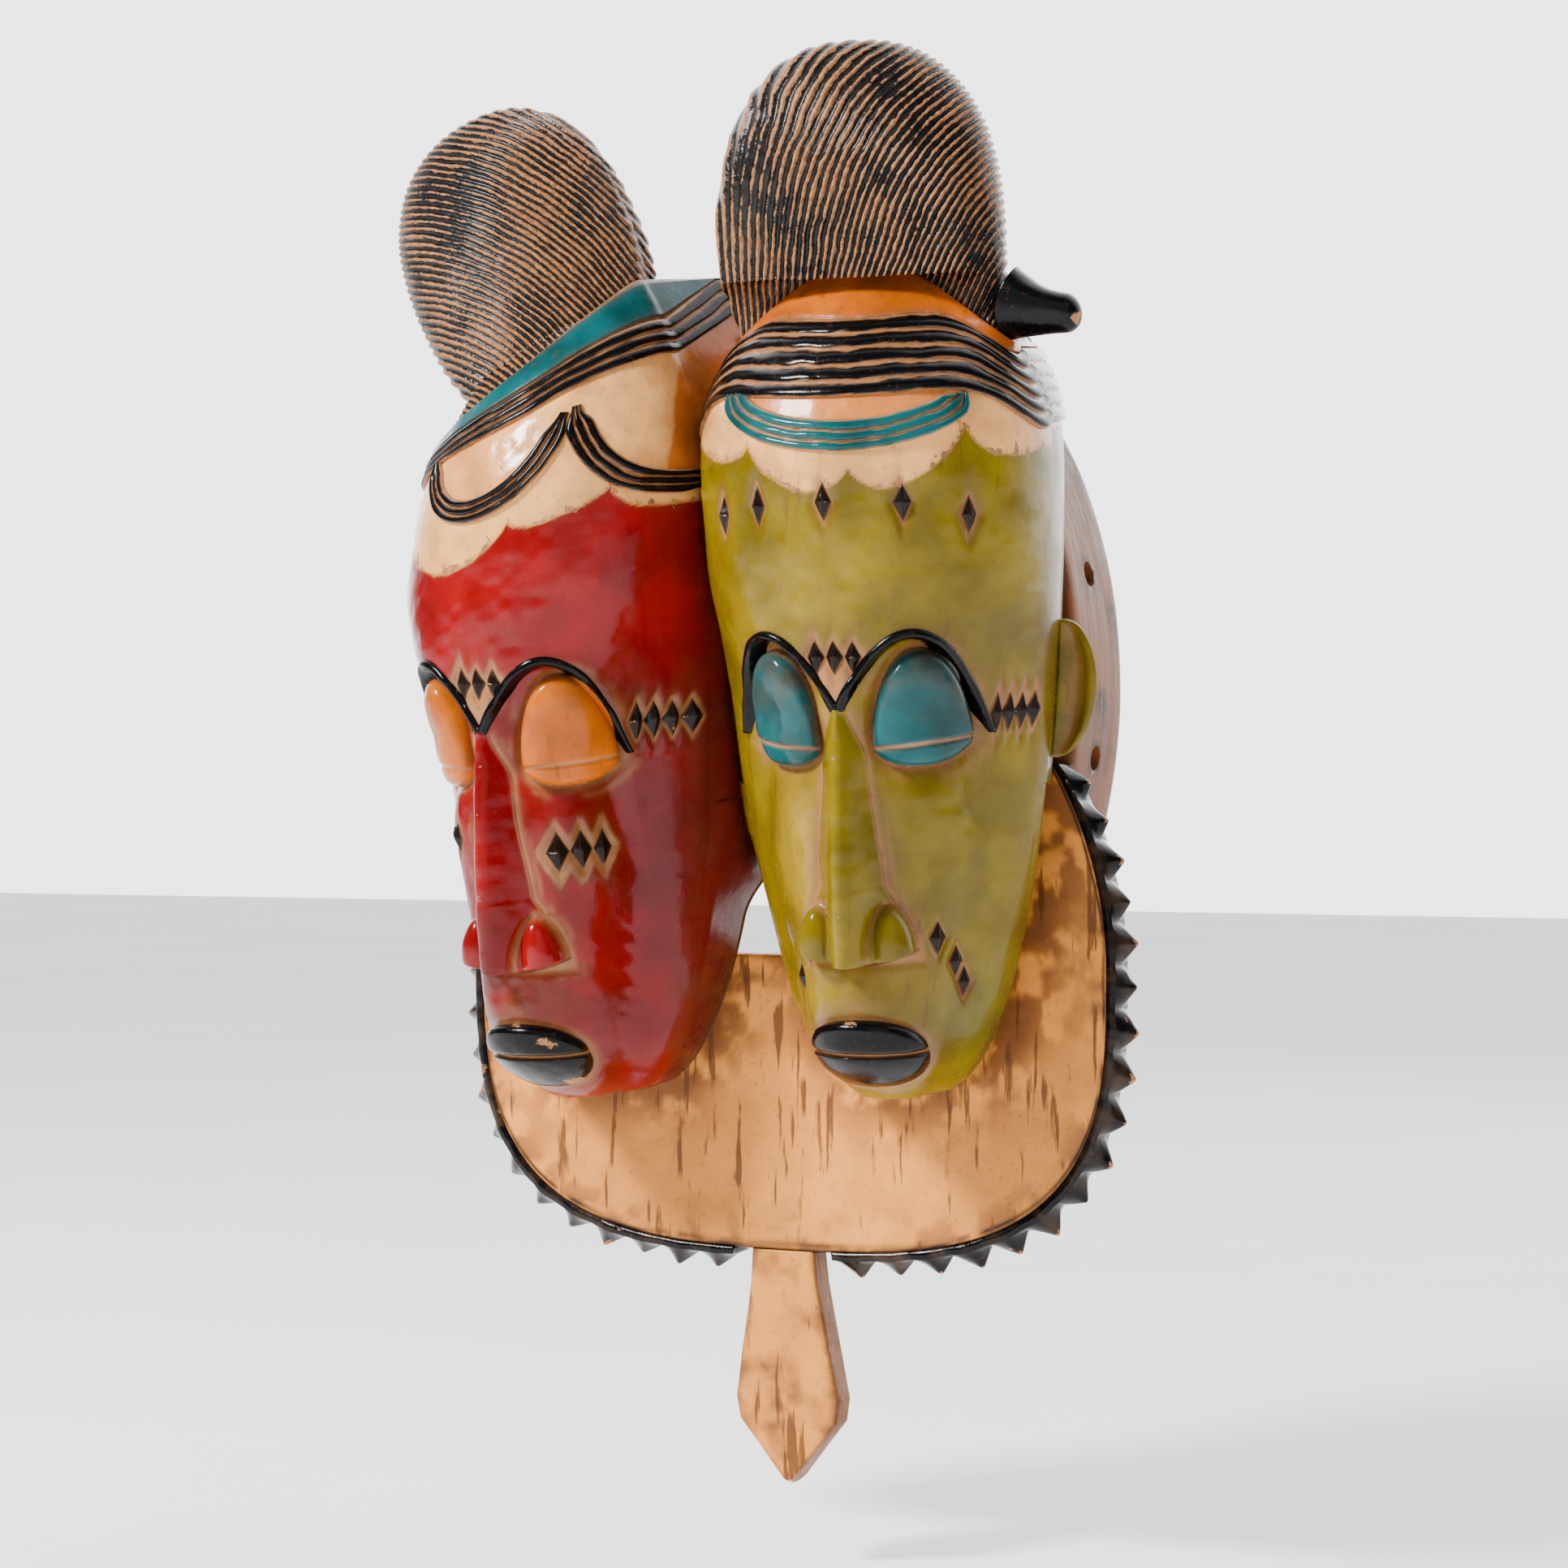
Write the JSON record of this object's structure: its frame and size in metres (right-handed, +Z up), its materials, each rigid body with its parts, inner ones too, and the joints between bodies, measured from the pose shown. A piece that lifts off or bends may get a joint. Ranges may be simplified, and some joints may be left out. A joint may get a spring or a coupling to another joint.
{
  "type": "carved wooden mask",
  "caption": "Carved and painted wooden wall mask with twin half-closed-eye faces, grooved coiffures, a toothed collar plate and an oval back rim.",
  "frame": {"origin": "centre of the hanging hole's mouth, on the back plane of the rim at its top", "axes": "+Z up, -Y the way the faces look, wall plane at Y = 0, +X to the viewer's right"},
  "size_m": [0.263, 0.16, 0.4922],
  "materials": {
    "rim_wood": "brown stained wood with dark tool marks, satin varnish",
    "peach_paint": "peach paint on wood, brown rubbed-in patina, semi-gloss",
    "black_paint": "glossy black paint worn to wood on its edges",
    "red_paint": "crimson paint on wood, glossy varnish",
    "olive_paint": "olive-mustard paint on wood, glossy varnish",
    "orange_paint": "orange paint on wood, glossy varnish",
    "teal_paint": "teal paint on wood, glossy varnish",
    "hair_wood": "grooved wood, black in the grooves and worn tan on the ridges"
  },
  "bodies": {
    "root": {"back_rim": "rim_wood", "collar_plate": "peach_paint", "pendant_tab": "peach_paint", "tooth_border_left": "black_paint", "tooth_border_right": "black_paint", "red_head": "red_paint", "red_brow": "black_paint", "red_nose": "red_paint", "red_eyelids": "orange_paint", "red_lips": "black_paint", "red_ear": "red_paint", "red_brow_lozenges": "black_paint", "red_temple_lozenges": "black_paint", "red_cheek_lozenges": "black_paint", "red_teal_band": "teal_paint", "red_hair_ridges": "black_paint", "red_hair_loops": "black_paint", "red_coiffure": "hair_wood", "olive_head": "olive_paint", "olive_brow": "black_paint", "olive_nose": "olive_paint", "olive_eyelids": "teal_paint", "olive_lips": "black_paint", "olive_ear": "olive_paint", "olive_forehead_lozenges": "black_paint", "olive_brow_lozenges": "black_paint", "olive_temple_lozenges": "black_paint", "olive_cheek_lozenges": "black_paint", "olive_orange_band": "orange_paint", "olive_hair_ridges": "black_paint", "olive_teal_loops": "teal_paint", "olive_coiffure": "hair_wood", "olive_hair_horn": "black_paint"}
  },
  "joints": []
}
